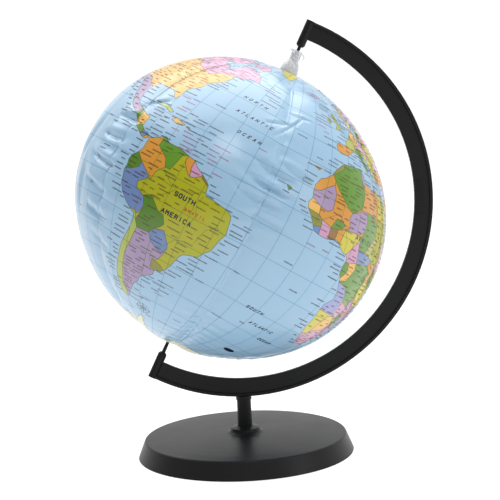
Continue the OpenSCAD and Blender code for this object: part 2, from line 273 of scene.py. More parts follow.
# Outlines are longitude,latitude in degrees. The first word is a name, the second the ink.
LANDS = """
north_america pink: -168,66 -162,67 -156,71 -141,70 -128,70 -115,68 -108,68 -96,67 -94,72 -86,69 -82,67
 -86,66 -94,60 -92,57 -83,55 -80,51 -79,54 -77,57 -79,61.5 -70,60 -64,58.5 -60,56.5 -57,52 -63,51.5
 -66.5,49.5 -70.5,49 -70,46.5 -72,42.5 -75,40.5 -76,38.5 -76.5,36 -80.5,32.5 -80,29 -81,26.5 -83,28
 -84.5,29.5 -89.5,30.5 -95,30 -98,28 -97.5,22 -95,19 -93,18.5 -89,17 -86,16 -83.5,15.5 -84,11.5 -81.5,10
 -79,9.5 -78,8.5 -79,7.5 -81,7.5 -84,9 -87,10.5 -91,14.5 -97.5,17 -100,19 -104,23 -106.5,26 -113.5,31
 -112,26 -110,23 -113,26 -116,30 -118,34 -121,36 -124,40 -124,47 -128,51 -134,58 -141,60 -151,60 -158,57
 -165,54.5 -158,59 -162,60 -166,62 -161,64.5
south_america olive: -77.5,8.5 -75.5,9.5 -73.5,10.5 -71.5,11.5 -69,10 -64,10 -60,9 -57,8.5 -55.5,7 -51,4.5
 -49,3 -48.5,0 -47.5,-1 -44.5,-1 -41.5,-1.5 -39,-2 -37.5,-3 -37,-4.5 -36.5,-7.5 -36,-9.5 -37,-12.5 -38,-17.5
 -40,-20 -41,-22 -44.5,-23 -46.5,-24 -47.5,-26 -49,-30.5 -50.5,-33 -52,-34.5 -54.5,-35 -55,-37.5 -56.5,-38.5
 -59,-40 -61,-41.5 -62,-44.5 -64,-46 -66,-49.5 -68,-52.5 -68,-54.5 -71,-55.5 -74.5,-54 -76,-50 -76.5,-47
 -75.5,-42 -74,-36.5 -73,-32 -71,-27 -70,-23.5 -69.5,-20.5 -70,-18.5 -71.5,-18 -75,-16 -78,-13.5 -80,-10.5
 -80.5,-8 -81,-6 -80.5,-4 -81,-2 -80.5,0 -78.5,2 -77.5,4 -77.5,5.5
africa orange: -15,19 -15,22 -13.5,25 -11,26.5 -8.5,29 -7,31.5 -5.5,33 -3,35.5 2.5,36.5 9,37.5 11.5,35.5
 11,33.5 16,32 20,31 20,33 25,32 32,31 34,28 35.5,24 37,21 39,16 43,12 51,12 49,7 43,0 39,-5 40,-11 40,-15
 36,-20 36,-24 34,-28 32,-31 28,-34 22,-35 18,-31 16,-28 14.5,-25 14,-21.5 12.5,-17.5 12.5,-15 15,-12
 14,-8.5 12,-6 11,-4 9.5,-2.5 9,-0.5 9.5,3 8,4.5 6,4.5 3.5,6 1,7.5 -1.5,6.5 -4,6 -7,6 -9.5,6.5 -11,8.5
 -13,11 -15,13 -15.5,15 -14.5,17
eurasia rose: -7,40.5 -4.5,39.5 -0.5,40 2,41.5 5,43.5 9,44 11,42.5 16,38 17,40.5 13,44 14,45.5 19,42 21,38
 23,37 23,40.5 26,41 27,37 31,36.5 36,36.5 34.5,31.5 34.5,28 39,21 43,13 45,13 52,16 59,22 57,25 51,25 48,30
 51,28 57,26.5 61,25 67,25 70,21 73,20 75,13 77.5,8 80,13 82,17 87,21.5 92,22 94,17 98,16 98,9 101,3 104,1.5
 103,6 100,9 100,13.5 105,9 109,12 106,20 110,21 117,23.5 121,28 120,34 122,37 118,39 121,40 124,40 126,35
 129,36 128,40 132,43 140,48 141,53 136,55 143,59 155,59.5 156,51 162,56 163,61 178,63 190,66 180,69 170,70
 160,70 140,73 130,71 113,74 104,78 90,75.5 80,72.5 70,72 68,68 55,68.5 45,68 41,66 40,67.5 31,70 25,71
 15,68.5 11,64 5,61 6,58 10,59 12,56 15,56 18,60 17,62 22,65.5 25,65 22,61 28,60.5 24,59 22,57 20,54.5 12,54
 10,57.5 8,57 8.5,54 6,52 5,50.5 2,48 0,46 0,44.5 -4,44 -7,43
antarctica ice: -180,-89.9 -180,-78 -150,-77 -130,-74 -100,-73 -75,-73 -62,-64 -58,-64 -62,-73 -60,-77
 -35,-78 -10,-71 30,-69 60,-67 90,-66 120,-66.5 150,-68.5 170,-72 165,-78 180,-78 180,-89.9
greenland yellow: -67,77 -60,74 -53.5,71 -47,69 -43,71.5 -42,75 -38,78 -34,81 -40,83.5 -60,82 -72,79
baffin pink: -65,62 -62,66 -72,71 -90,74 -88,70 -78,69.5 -73,67 -78,64.5 -72,63
ellesmere pink: -62,82.5 -90,81.5 -88,77 -79,76
victoria pink: -117,72 -105,73 -102,69 -114,69
banks pink: -125,72 -122,74.5 -117,73
cuba lime: -87.5,22 -84,23.2 -80,23 -76,21.3 -77.5,20.6 -81,21.8
hispaniola gold: -74.4,18.3 -73,19.8 -68,18.6 -71,17.6
jamaica green: -78.4,18.4 -76.2,18.2 -77.3,17.7
puerto_rico orange: -67.2,18.5 -65.6,18.4 -65.8,18 -67.2,18
trinidad pink: -61.9,10.8 -60.9,10.8 -61,10 -61.9,10
falklands pink: -61,-51.5 -58,-51.5 -59,-52.3
iceland mauve: -24,65.5 -22,64 -18,63.5 -14,65 -16,66.3
britain olive: -6,50.5 -2,51 -1.5,53 -4,56 -5,58.5 -7.5,58 -6,54 -4,53.5 -5,52
ireland olive: -12,52.5 -9,52.3 -9,54.5 -11,54.5
svalbard mauve: 11,79.5 22,80 18,76.6
novaya rose: 52,71 57,70.5 68,76.5 60,76
canaries orange: -18,28.7 -14,29 -15,28
cape_verde green: -25.3,17 -23,16.5 -24,15
madagascar green: 49,-12 50,-16 47,-25 44,-25 44,-17
sri_lanka green: 80,9.5 82,7 80,6
sumatra green: 95,5.5 104,-1 106,-6 100,0
java green: 105,-6.5 114,-7 114,-8.5 106,-7.5
borneo green: 109,1 117,7 119,5 116,-4 110,-3
sulawesi green: 119,-1 125,1.5 121,-1 123,-5 120,-5.5
new_guinea lime: 131,-1 141,-3 151,-10 143,-8.5 138,-8 133,-4
philippines pink: 120,18 122,17 126,7 122,7.5 120,14
taiwan yellow: 120,23 121,25 122,25 121,22
japan pink: 130,31 136,34 141,36 142,40 145,43.5 142,45 140,41 136,37 131,34.5
sakhalin rose: 142,46 143,54 144,49
australia orange: 114,-22 122,-18 129,-15 132,-11.5 136,-12 136,-16 141,-17 142.5,-11 146,-19 153,-26
 153,-31 150,-37.5 146,-39 140,-38 135,-34.5 129,-31.7 124,-33 118,-35 115,-34
tasmania orange: 145,-41 148,-41 147,-43.5
new_zealand_north green: 173,-35 178,-38 175,-41.5 174,-39
new_zealand_south green: 173,-41 174,-42 171,-45.5 168,-46.5 167,-45.5
"""

# The first country that holds a place gives its ink, so only borders with later ones matter,
# and an outline may run out to sea.
COUNTRIES = """
chile lime: -72,-17.5 -69.5,-17.5 -68.5,-20.5 -67,-23 -68.5,-29 -70.5,-34.5 -71.5,-40.5 -72,-46.5 -72.5,-50
 -70,-52.5 -70,-57 -84,-57 -80,-18
uruguay moss: -57,-31 -53,-32 -50,-34 -54,-36 -57,-34.5
paraguay violet: -60,-20 -56,-19 -53,-23 -52.5,-25 -54.5,-27.5 -57,-26.5 -60,-25 -61.5,-22.5
bolivia leaf: -68.5,-11 -65.5,-9.5 -61,-13.5 -58.5,-14 -57,-17 -58,-18.5 -60,-20 -61.5,-22.5 -67,-23
 -68.5,-20.5 -67.5,-17.5 -67,-14.5
argentina mauve: -67,-23 -61.5,-22.5 -60,-25 -57,-26.5 -54.5,-27.5 -52.5,-26 -54.5,-30 -57,-32.5 -57,-34.5
 -50,-37 -60,-57 -71,-57 -80,-48 -72,-30
ecuador leaf: -83,1.5 -78,2 -75,-0.5 -75,-2.5 -78,-4.5 -83,-6
peru violet: -83,-6 -78,-4.5 -75,-2.5 -75,-0.5 -69.5,-4 -70.5,-5.5 -73,-7.5 -72.5,-9.5 -68,-11.5 -67,-14.5
 -68,-17.5 -70,-19 -83,-12
colombia orange: -81,8 -77.5,9.5 -72,13 -72,7.5 -67,4.5 -65.5,1.5 -68,-1.5 -68.5,-4.5 -69.5,-4 -75,-0.5
 -78,2 -82,2
venezuela green: -72,13 -60,12 -60,9 -62,8 -62.5,5.5 -63.5,1.5 -65.5,1.5 -67,4.5 -72,7.5
guyana orange: -60,10 -57,9.5 -57,5.5 -56,2.5 -58,4 -60,6.5
suriname pink: -57,9 -52.5,7.5 -52.5,4.5 -54.5,3 -56,2.5 -57,5.5
french_guiana rust: -52.5,7 -48,5 -49,2.5 -52,4
alaska gold: -141,72 -141,60 -130,54 -180,50 -180,73
usa gold: -125,49 -107,52.5 -98.5,48 -91,46.5 -82.5,45 -76,48 -70.5,49 -68,46 -68,42 -75,22 -84,26 -98,27.5
 -102,28.5 -107,31.5 -114,32 -118,32.5 -130,40
mexico mauve: -118,32.5 -114,32.3 -107,31.5 -102,28.5 -98,27.5 -90,25 -90,18 -91,16.5 -92,13.5 -112,15
guatemala green: -92.5,13 -91,17.5 -88.5,18 -88,15.5 -89.5,13
honduras gold: -91,12 -88.5,16.5 -82,16.4 -83,12 -86,11.5 -87,9.5
costa_rica green: -88,11 -86,11.5 -83,12 -82,9 -85,7.5
panama violet: -83,11 -82,9 -84,7 -76,6 -77,10
mauritania mauve: -18,19.5 -15,20 -12,21 -10,23 -6.5,25.5 -5,22.5 -5,16.5 -7,15 -10.5,15.5 -14,17 -18,17
sahara orange: -18,20 -15,20 -12,21 -10,23 -6.5,25.5 -6.5,27 -8,29 -14,28
morocco moss: -14,28 -8,29 -2.5,33.5 -3,38 -14,34
algeria green: -6.5,27 -8,29 -2.5,33.5 -3,38 8,39 9.5,36 9,33.5 11.5,30 11.5,26.5 10.5,22.5 5,19 1.5,20.5
 -4,24.5
tunisia mauve: 9.5,36 8,39 13,38 12.5,34 11.5,31 9,33.5
libya orange: 11.5,31 12.5,34 18,34 25,33 25,20 21.5,22.5 14.5,22.5 11.5,22 10.5,22.5 11.5,26.5
egypt yellow: 25,33 36,31 37,22 25,22
mali orange: -6.5,25.5 -6.5,27 -4,24.5 1.5,20.5 5,19 4,17 5.5,13.5 -2,14.5 -3.5,10.5 -8,11.5 -10,12.5
 -10.5,15.5 -7,15 -5,16.5 -5,22.5
niger mauve: 4,17 5,19 11.5,22 14.5,22.5 15.5,20 15,15 11,13 3.5,12.5 5.5,13.5
chad green: 14.5,22.5 21.5,22.5 25,20 24,15 21.5,12 19,8.5 14,8.5 13,12 15,15 15.5,20
sudan olive: 25,22 39,22 38,17 36,10 34,4 27,7 19,8.5 21.5,12 24,15 25,20
somalia orange: 43,12 53,13 50,5 42,-3 41,3.5 47,8
ethiopia pink: 36,17 43,12 48,8 42,3.5 36,4.5 33,8
kenya green: 34,4.5 41,4 42.5,-2 40,-5 34,-1
senegal gold: -18,17 -14,17 -10.5,15.5 -10,12.5 -18,13
guinea moss: -18,13 -10,12.5 -8,11.5 -7.5,9 -10.5,8 -15,8.5
liberia violet: -15,8.5 -10.5,8 -7.5,9 -7,4 -12,4
ivory_coast pink: -8,11.5 -3.5,10.5 -3,4 -7,4 -7.5,9
burkina green: -3.5,10.5 -2,14.5 3,14 1.5,11.5 0,11
ghana rust: -3.5,10.5 0,11 0,4 -3,4
benin orange: 0,4 0,11 1.5,11.5 3.5,12.5 3,8 2,4
nigeria yellow: 2,4 3,8 3.5,12.5 11,13 13,12 10,7.5 7,3
cameroon pink: 7,3 10,7.5 13,12 14,8.5 16,3.5 10,2
central_africa violet: 14,8.5 19,8.5 27,7 25.5,5 17,3.5 16,3.5
gabon green: 7,2 10,2 12,2 13,-1 11,-4 7,-2
congo gold: 12,2 10,2 16,3.5 17,1 15,-4 11,-5 11,-4 13,-1
zaire green: 16,3.5 17,3.5 25.5,5 31,2.5 29.5,-4 30.5,-8.5 28.5,-9 29.5,-13 22,-11 20,-8.5 17,-6 10,-5 15,-4
 17,1
tanzania yellow: 30,-1 34,-1 40,-5 42,-11 34,-11 29.5,-6
angola lilac: 10,-5 17,-6 20,-8.5 22,-11 22,-16 23.5,-17.7 10,-17.3
zambia pink: 22,-13 24,-11 29,-13 28.5,-9 33,-9.5 33,-14 27,-18 22,-16.5
namibia yellow: 10,-17.3 25,-17.7 21,-18.5 20,-22 20,-28.5 16,-29 11,-22
botswana gold: 21,-18.3 25,-17.8 29,-22 26,-25 20,-27 20,-22
zimbabwe green: 25.5,-18 28.5,-15.5 33,-16.5 32.5,-21 31,-22.3 28,-21.5
mozambique mauve: 33,-10.5 42,-10.5 42,-16 36,-26 32,-27 31.5,-22.5 33,-16.5 34.5,-14.5
south_africa pink: 14,-28.6 20,-28.5 20,-27 26,-25 29.5,-22 31.5,-22.5 34,-27 30,-36 14,-36
spain orange: -11,45 0,44.5 4.5,44 2,38 -8,38
france lime: -6,47 2,49 4,51 8,49 7.5,43 4.5,44 0,44.5
germany gold: 6,54 9,55 14,54.6 15,51 12.5,50 13.5,48.5 8,47.5 6,50
low_countries mauve: 4,51 6,54 6,50
italy green: 7,43 7,46 13,46.7 14,42 19,40.5 16,36.5
balkans yellow: 14,46.8 22,46 28,45 29,41 24,35 19,39 13,45
poland mauve: 14,54.6 19,55 24,54 23,50 15,51
central_europe pink: 8,47.5 13.5,48.5 12.5,50 23,50 28,45 22,46 14,46.8 8,46
ukraine yellow: 23,50 24,52 33,52 40,49 38,46 30,44 28,45
baltic green: 20,55 21,59.5 28,59.5 28,56 24,54
belarus orange: 24,54 28,56 32,54 33,52 24,52
norway mauve: 5,57 11,59 12,64 20,69 31,70.5 25,73 4,63
sweden yellow: 11,59 12,64 20,69 24,66 16,55 12,55
finland pink: 20,69 29,69 30,62 27,60 20,60 24,66
turkey orange: 25,42 42,43 44,37 36,35.5 26,35
levant pink: 34,37 42,37 42,32 36,29 34,31
iraq yellow: 42,37 46,36 48,30 44,29 39,32
saudi orange: 34,29 39,32 44,29 48,29 52,24 55,22 52,18 45,17 42,16 38,20
yemen_oman green: 42,16 52,19 56,25 61,24 52,14 43,12
iran mauve: 44,39.5 49,38 54,37.5 61,36 62,25 50,27 45,35
kazakhstan lime: 47,49 55,51 62,54 75,54 85,49 80,44 68,42 56,41 52,46
turan pink: 53,37 56,41 68,42 74,39 66,37 61,35
afghanistan gold: 61,35 66,37 74,37 70,33 66,29 61,30
pakistan green: 61,30 66,29 70,33 76,36 75,32 70,27 71,23 61,24
india pink: 71,23 70,27 75,32 79,31 81,29 88,27 97,28 93,22 90,21 89,25 87,15 78,5 68,20
nepal yellow: 80,30.5 88,28 88,26.5 81,28.5
bangladesh green: 88,26 92,25 92,20 88,21
mongolia green: 88,49 98,52 116,50 120,46 110,42 96,43
china yellow: 74,39 80,44 88,49 96,43 110,42 120,46 116,50 122,54 135,48 131,43 124,40 122,30 118,22 108,21
 98,24 98,28 88,28 78,33
korea gold: 124,40 130,42.5 131,35 125,33
myanmar green: 92,21 98,28 101,21 98,17 99,9 93,15
thailand yellow: 98,17 101,20 105,15 102,11 101,5 98,6
indochina mauve: 101,21 108,22 111,12 105,8 102,11 105,15
malaysia orange: 99,6.5 104,6 106,0 102,0
papua orange: 141,0 141,-10 153,-12 151,-1
"""

RIVERS = """
amazon: -49,0 -52,-2 -56,-2.5 -60,-3.5 -64,-3 -67,-3 -70,-4 -73.5,-4
madeira: -58,-3.5 -60,-6 -63,-8.5 -66,-10
tocantins: -48.5,-1.5 -49.5,-5 -48,-9 -49,-14
xingu: -52,-2 -52.5,-6 -53,-12
sao_francisco: -37,-10 -40,-9 -43,-12 -44.5,-18
parana: -57.5,-33 -58.5,-30 -57.5,-27 -54,-24 -51,-20 -47.5,-19
negro: -60,-3.5 -63,-1 -66,0.5
orinoco: -61.5,9 -66,7.5 -67.5,5
mississippi: -90,30 -91,35 -90,39 -94,45
missouri: -90,39 -96,41 -101,46
niger: 6.5,5 6,9 3,13 -1,16.5 -5,14 -9,10.5
congo_river: 12,-5.5 17,-1 22,2 25.5,0 26,-6
nile: 31,31 32.5,25 33,18 31.5,10 31,3
"""

INKS = {
    "sea": (156, 192, 219),
    "olive": (172, 172, 6),
    "moss": (140, 140, 46),
    "green": (94, 146, 30),
    "leaf": (80, 128, 22),
    "orange": (212, 146, 44),
    "gold": (232, 178, 78),
    "yellow": (206, 194, 54),
    "lime": (172, 184, 74),
    "violet": (106, 134, 184),
    "lilac": (150, 156, 206),
    "mauve": (164, 142, 178),
    "pink": (204, 150, 184),
    "rose": (214, 180, 208),
    "rust": (150, 108, 52),
    "ice": (212, 214, 176),
}
INK_NAMES = list(INKS)


def read_lines(text):
    """The lines in a text as (heading, points). A line that starts with a space carries on."""
    found = []
    for line in text.strip().replace("\n ", " ").splitlines():
        heading, points = line.split(":")
        found.append((heading, np.array([[float(n) for n in p.split(",")] for p in points.split()])))
    return found


def read_outlines(text):
    """The outlines in a text as (name, ink, points)."""
    return [(*heading.split(), points) for heading, points in read_lines(text)]


def spaced(points, step, closed=True):
    """The line again, with no stretch longer than step."""
    ends = np.roll(points, -1, axis=0) if closed else points[1:]
    out = []
    for start, end in zip(points, ends):
        count = max(1, math.ceil(np.abs(end - start).max() / step))
        out += [start + (end - start) * i / count for i in range(count)]
    if not closed:
        out.append(points[-1])
    return np.array(out)


def inside(points, places):
    """Which places lie in a closed outline, both in longitude and latitude."""
    x, y = places.T
    result = np.zeros(len(places), bool)
    for (x0, y0), (x1, y1) in zip(points, np.roll(points, -1, axis=0)):
        if y0 != y1:
            crosses = (y0 > y) != (y1 > y)
            result ^= crosses & (x < (x1 - x0) * (y - y0) / (y1 - y0) + x0)
    return result


LAND_OUTLINES = read_outlines(LANDS)
COUNTRY_OUTLINES = read_outlines(COUNTRIES)
RIVER_LINES = [points for name, points in read_lines(RIVERS)]


def around(points, places):
    """As inside(), for an outline that may run past 180 degrees of longitude."""
    return inside(points, places) | inside(points, places + [360, 0]) | inside(points, places - [360, 0])


SPLIT_LANDS = 4  # the first lands, which are split into countries
FIRST_COUNTRY = 100  # the countries are numbered from here, and the lands from 1


def regions(places):
    """A number for each place: 0 is the sea, and every country or land has its own; and the inks."""
    region = np.zeros(len(places), int)
    inks = np.zeros(len(places), int)
    for i, (name, ink, points) in enumerate(LAND_OUTLINES):
        here = around(points, places) & (region == 0)
        region[here], inks[here] = 1 + i, INK_NAMES.index(ink)
    free = (region > 0) & (region <= SPLIT_LANDS)
    for i, (name, ink, points) in enumerate(COUNTRY_OUTLINES):
        here = free & inside(points, places)
        region[here], inks[here] = FIRST_COUNTRY + i, INK_NAMES.index(ink)
        free &= ~here
    return region, inks


# ---- materials


def linear(rgb):
    """Colour for a shader socket from 0-255 display values."""
    parts = [c / 255 for c in rgb]
    return [c / 12.92 if c <= 0.04045 else ((c + 0.055) / 1.055) ** 2.4 for c in parts] + [1]


def set_inputs(node, **values):
    """Sets a node's sockets, named with an underscore for each space."""
    for socket, value in values.items():
        node.inputs[socket.replace("_", " ")].default_value = value


def finish_material(name, colour, rough, spread, grain, depth, **sockets):
    """A Principled material with fine grain in its bump and a cloudy variation in its gloss."""
    material = bpy.data.materials.new(name)
    material.use_nodes = True
    tree = material.node_tree
    shader = tree.nodes["Principled BSDF"]
    set_inputs(shader, Base_Color=colour, **sockets)
    place = tree.nodes.new("ShaderNodeTexCoord")
    cloud = tree.nodes.new("ShaderNodeTexNoise")
    set_inputs(cloud, Scale=28, Detail=4)
    gloss = tree.nodes.new("ShaderNodeMapRange")
    set_inputs(gloss, To_Min=rough - spread, To_Max=rough + spread)
    speckle = tree.nodes.new("ShaderNodeTexNoise")
    set_inputs(speckle, Scale=1 / grain, Detail=3)
    bump = tree.nodes.new("ShaderNodeBump")
    set_inputs(bump, Strength=0.6, Distance=depth)
    link = tree.links.new
    link(place.outputs["Object"], cloud.inputs["Vector"])
    link(place.outputs["Object"], speckle.inputs["Vector"])
    link(cloud.outputs["Fac"], gloss.inputs["Value"])
    link(gloss.outputs["Result"], shader.inputs["Roughness"])
    link(speckle.outputs["Fac"], bump.inputs["Height"])
    link(bump.outputs["Normal"], shader.inputs["Normal"])
    return material


def ink_material(name, rgb):
    finish = {"rough": 0.36, "spread": 0.06, "grain": 0.9 * MM, "depth": 0.02 * MM}
    return finish_material(name, linear(rgb), **finish, IOR=1.48, Coat_Weight=0.5, Coat_Roughness=0.18)


INK_MATERIALS = [ink_material(f"ink_{name}", rgb) for name, rgb in INKS.items()]
LINE_INKS = {
    "graticule": (104, 158, 190),
    "coast": (72, 104, 96),
    "border": (104, 88, 40),
    "river": (96, 116, 30),
    "label": (26, 30, 52),
    "inland": (84, 50, 30),
    "magenta": (150, 70, 130),
    "red": (186, 70, 20),
}
LINE_MATERIALS = {name: ink_material(f"line_{name}", rgb) for name, rgb in LINE_INKS.items()}


def black_plastic(name, rgb, rough):
    finish = {"rough": rough, "spread": 0.05, "grain": 0.5 * MM, "depth": 0.035 * MM}
    return finish_material(name, linear(rgb), **finish, IOR=1.5, Specular_IOR_Level=0.22)


def clear_vinyl(name):
    finish = {"rough": 0.28, "spread": 0.05, "grain": 1.2 * MM, "depth": 0.03 * MM}
    return finish_material(name, linear((250, 251, 254)), **finish, IOR=1.5, Transmission_Weight=0.5)


def steel(name):
    finish = {"rough": 0.3, "spread": 0.06, "grain": 0.3 * MM, "depth": 0.01 * MM}
    return finish_material(name, linear((196, 198, 200)), **finish, Metallic=1.0)


def dress(node, material):
    NODES[node].data.materials.clear()
    NODES[node].data.materials.append(material)


# ---- mesh helpers


def new_piece(name, points, faces, materials, face_materials, normals=None):
    mesh = bpy.data.meshes.new(name)
    mesh.from_pydata([tuple(p) for p in points], [], [tuple(f) for f in faces])
    for material in materials:
        mesh.materials.append(material)
    mesh.polygons.foreach_set("material_index", face_materials)
    mesh.polygons.foreach_set("use_smooth", np.ones(len(mesh.polygons), bool))
    if normals is not None:
        mesh.normals_split_custom_set_from_vertices([tuple(n) for n in normals])
    mesh.update()
    piece = bpy.data.objects.new(name, mesh)
    bpy.context.scene.collection.objects.link(piece)
    return piece


class Strips:
    """Thin printed lines that lie on the film: one quad for each short stretch."""

    def __init__(self):
        self.starts, self.ends, self.widths, self.inks = [], [], [], []

    def add(self, starts, ends, width, ink):
        self.starts += list(starts)
        self.ends += list(ends)
        self.widths += [width] * len(starts)
        self.inks += [ink] * len(starts)

    def piece(self, name, lift):
        names = list(LINE_MATERIALS)
        start, end = np.array(self.starts), np.array(self.ends)
        width = np.array(self.widths)[:, None] * MM / 2
        p, q = film_point(start, lift), film_point(end, lift)
        outward = unit(p + q - 2 * CENTRE)
        along = unit(q - p)
        side = unit(np.cross(outward, along)) * width
        p, q = p - along * width * 0.6, q + along * width * 0.6
        points = np.stack([p - side, p + side, q + side, q - side], 1).reshape(-1, 3)
        faces = [(4 * i, 4 * i + 3, 4 * i + 2, 4 * i + 1) for i in range(len(start))]
        materials = list(LINE_MATERIALS.values())
        return new_piece(name, points, faces, materials, [names.index(i) for i in self.inks])


# Lift above the film, and the widths of the printed lines, in millimetres.
LINE_LIFT = 0.05
BORDER_WIDTH = 0.4
GRATICULE_WIDTH = 0.4
RIVER_WIDTH = 0.28


# ---- printed patches of film

# In degrees: the printed grid, how close the points of a line are, and how far past a patch's edge a
# line still counts as near it.
GRATICULE_STEP = 10
GRATICULE_TOP = 80
LINE_STEP = 1.5
PATCH_MARGIN = 8


def graticule():
    """The printed grid's lines, as longitudes and latitudes."""
    lines = []
    for lon in range(-180, 180, GRATICULE_STEP):
        ends = np.array([[lon, -GRATICULE_TOP], [lon, GRATICULE_TOP]], float)
        lines.append(spaced(ends, LINE_STEP, False))
    for lat in range(-GRATICULE_TOP, GRATICULE_TOP + 1, GRATICULE_STEP):
        ends = np.array([[-180, lat], [180, lat]], float)
        lines.append(spaced(ends, LINE_STEP, False))
    return lines


def map_lines():
    """Every line that a patch's faces may not cross: (points, closed, kind)."""
    lines = [(spaced(points, LINE_STEP), True, "edge") for name, ink, points in LAND_OUTLINES]
    lines += [(spaced(points, LINE_STEP), True, "edge") for name, ink, points in COUNTRY_OUTLINES]
    lines += [(spaced(points, LINE_STEP, False), False, "river") for points in RIVER_LINES]
    return lines + [(points, False, "graticule") for points in graticule()]


MAP_LINES = map_lines()


def add_map_lines(points, edges, kinds, to_patch):
    """Adds the map's lines near a patch to its points and edges, and what they are to kinds."""
    for line, closed, kind in MAP_LINES:
        flat, near = to_patch(print_direction(line[:, 0], line[:, 1]))
        number = {}
        for a in range(len(line) if closed else len(line) - 1):
            b = (a + 1) % len(line)
            if near[a] and near[b] and np.abs(flat[a] - flat[b]).max() < PATCH_MARGIN:
                for i in (a, b):
                    if i not in number:
                        number[i] = len(points)
                        points.append(Vector(flat[i]))
                edges.append((number[a], number[b]))
                kinds.append(kind)


def turn_outward(faces, points):
    """Turns over the faces that look towards the ball's centre."""
    corner = points[faces]
    facing = np.cross(corner[:, 1] - corner[:, 0], corner[:, 2] - corner[:, 0])
    inward = (facing * (corner[:, 0] - CENTRE)).sum(-1) < 0
    faces[inward] = faces[inward][:, ::-1]


def faces_by_edge(faces):
    """The numbers of the faces on each edge, an edge being the set of its two points."""
    touching = {}
    for f, corners in enumerate(faces):
        for a, b in ((0, 1), (1, 2), (2, 0)):
            touching.setdefault(frozenset((corners[a], corners[b])), []).append(f)
    return touching


def printed_patch(name, grid, boundary, to_patch, from_patch, in_patch, strips):
    """One piece of printed film. grid and boundary are points in the patch's own flat coordinates,
    and to_patch and from_patch go between those and directions on the ball."""
    points = [Vector(p) for p in grid] + [Vector(p) for p in boundary]
    first = len(grid)
    edges = [(first + i, first + (i + 1) % len(boundary)) for i in range(len(boundary))]
    kinds = ["boundary"] * len(edges)
    add_map_lines(points, edges, kinds, to_patch)
    flat, out_edges, faces, _, edge_origins, _ = delaunay_2d_cdt(points, edges, [], 0, 1e-4)
    flat = np.array([tuple(p) for p in flat])
    faces = np.array([f for f in faces if len(f) == 3])
    faces = faces[in_patch(flat[faces].mean(1))]
    lon, lat = print_place(from_patch(flat[faces].mean(1)))
    region, inks = regions(np.stack([lon, lat], -1))
    used, faces = np.unique(faces, return_inverse=True)
    faces = faces.reshape(-1, 3)
    directions = from_patch(flat[used])
    placed = film_point(directions)
    turn_outward(faces, placed)
    piece = new_piece(name, placed, faces, INK_MATERIALS, inks, film_normal(directions))
    touching = faces_by_edge(faces)
    for edge, both in touching.items():
        if len(both) == 2 and region[both[0]] != region[both[1]]:
            a, b = edge
            sea = 0 in (region[both[0]], region[both[1]])
            strips.add([directions[a]], [directions[b]], BORDER_WIDTH, "coast" if sea else "border")
    renumber = {old: new for new, old in enumerate(used)}
    for (a, b), origins in zip(out_edges, edge_origins):
        found = {kinds[o] for o in origins if o < len(kinds)} & {"graticule", "river"}
        if found and a in renumber and b in renumber:
            a, b = renumber[a], renumber[b]
            both = touching.get(frozenset((a, b)), [])
            on_land = all(region[f] > 0 for f in both)
            if both and on_land:  # the grid has the rivers' ink there too
                strips.add([directions[a]], [directions[b]], RIVER_WIDTH, "river")
            elif both and "graticule" in found:
                strips.add([directions[a]], [directions[b]], GRATICULE_WIDTH, "graticule")
    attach(piece, "ball")
    return piece


# A panel's own coordinates are degrees: round the ball from its first seam, and latitude on the ball.
PANEL_TOP = 83.4
LAST_ROW = math.floor(PANEL_TOP)
ROW_STEP = 1.0
SIDE_STEP = 0.834
NEAR_SEAM = [0.2, 0.45, 0.8, 1.3, 1.9, 2.7, 3.6]
PAST_SEAM = 4.6
MIDDLE_COLUMNS = 52
FOLD_STEP = 0.5
FOLD_LEAST = 0.2  # film that a fold moves by more than this, in millimetres, gets a finer grid


def panel_grid():
    """The points of a panel's grid. Its columns are closer together near the seams."""
    middle = list(np.linspace(PAST_SEAM, PANEL_ANGLE - PAST_SEAM, MIDDLE_COLUMNS))
    columns = NEAR_SEAM + middle + [PANEL_ANGLE - n for n in reversed(NEAR_SEAM)]
    rows = np.arange(-LAST_ROW, LAST_ROW + ROW_STEP / 2, ROW_STEP)
    return [(u, v) for u in columns for v in rows]


def panel_boundary():
    sides = np.arange(-PANEL_TOP, PANEL_TOP + SIDE_STEP / 2, SIDE_STEP)
    tips = np.arange(ROW_STEP / 2, PANEL_ANGLE, ROW_STEP)
    boundary = [(0, v) for v in sides] + [(u, PANEL_TOP) for u in tips]
    return boundary + [(PANEL_ANGLE, v) for v in sides[::-1]] + [(u, -PANEL_TOP) for u in tips[::-1]]


def fine_grid():
    """The points of the finer grid that a panel gets where it is folded."""
    columns = np.arange(ROW_STEP + FOLD_STEP / 2, PANEL_ANGLE - ROW_STEP, FOLD_STEP)
    rows = np.arange(-LAST_ROW + FOLD_STEP / 2, LAST_ROW, FOLD_STEP)
    return np.array([(u, v) for u in columns for v in rows])


def panel_piece(number, strips):
    start = FIRST_SEAM + (number - 1) * PANEL_ANGLE

    def to_patch(directions):
        u = np.degrees(np.arctan2(directions[:, 1], directions[:, 0])) - start
        u = (u - PANEL_ANGLE / 2 + 180) % 360 - 180 + PANEL_ANGLE / 2
        v = np.degrees(np.arcsin(np.clip(directions[:, 2], -1, 1)))
        return np.stack([u, v], -1), (u > -PATCH_MARGIN) & (u < PANEL_ANGLE + PATCH_MARGIN)

    def from_patch(flat):
        azimuth, lat = np.radians(flat[:, 0] + start), np.radians(flat[:, 1])
        return np.stack([np.cos(lat) * np.cos(azimuth), np.cos(lat) * np.sin(azimuth), np.sin(lat)], -1)

    def in_patch(middles):
        u, v = middles.T
        return (u > 0) & (u < PANEL_ANGLE) & (np.abs(v) < PANEL_TOP)

    fine = fine_grid()
    grid = panel_grid() + list(fine[np.abs(fold_depth(from_patch(fine))) > FOLD_LEAST])
    name = f"panel_{number}_film"
    piece = printed_patch(name, grid, panel_boundary(), to_patch, from_patch, in_patch, strips)
    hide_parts(f"panel_{number}")


